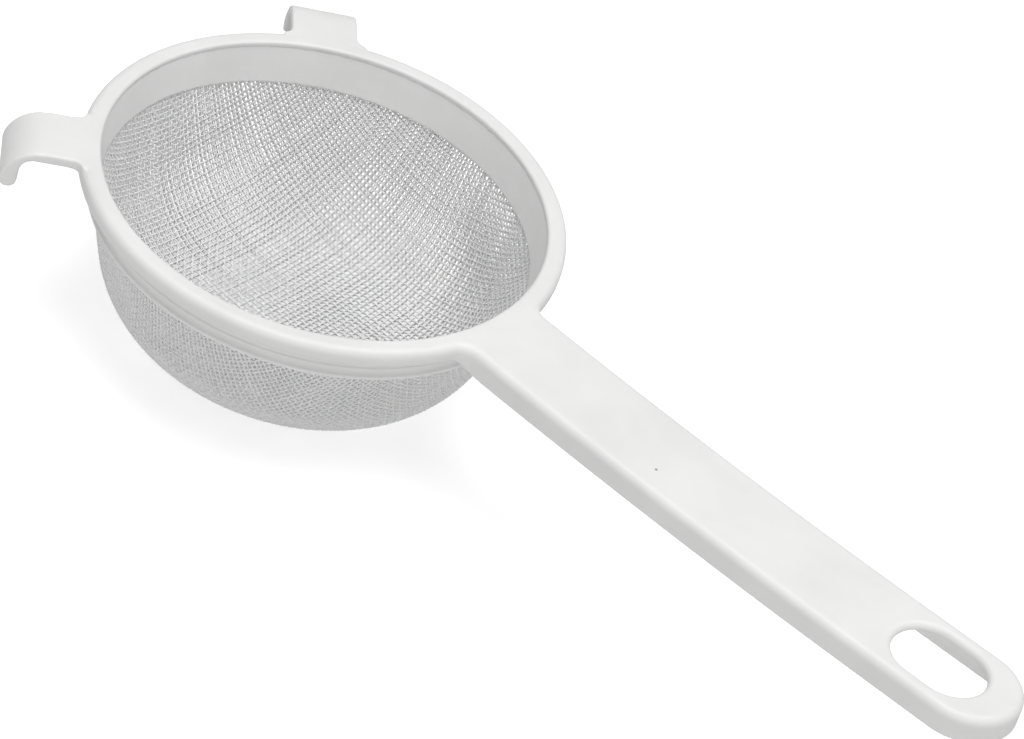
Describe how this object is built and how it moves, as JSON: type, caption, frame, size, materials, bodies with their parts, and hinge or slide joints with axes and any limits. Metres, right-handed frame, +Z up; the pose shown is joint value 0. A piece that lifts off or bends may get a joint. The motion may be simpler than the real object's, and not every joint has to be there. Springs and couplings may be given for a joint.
{
  "type": "hand strainer",
  "caption": "Round hand strainer: doubled woven mesh bowl moulded in a collar, flat rim, slotted strap handle and hooks that rest on a pot or pail.",
  "frame": {"origin": "lowest point of the mesh bowl, on the bowl's axis", "axes": "+Z up along the bowl's axis, out of its mouth; +X along the handle, towards its tip"},
  "size_m": [0.2723, 0.1216, 0.0552],
  "materials": {
    "frame_plastic": "satin white polypropylene, as moulded",
    "collar_plastic": "satin white polypropylene, as moulded",
    "inner_mesh": "woven monofilament, light and slightly glossy",
    "outer_mesh": "woven monofilament, light and slightly glossy"
  },
  "bodies": {
    "root": {"frame": "frame_plastic", "sieve_collar": "collar_plastic", "inner_sieve": "inner_mesh", "outer_sieve": "outer_mesh"}
  },
  "joints": []
}
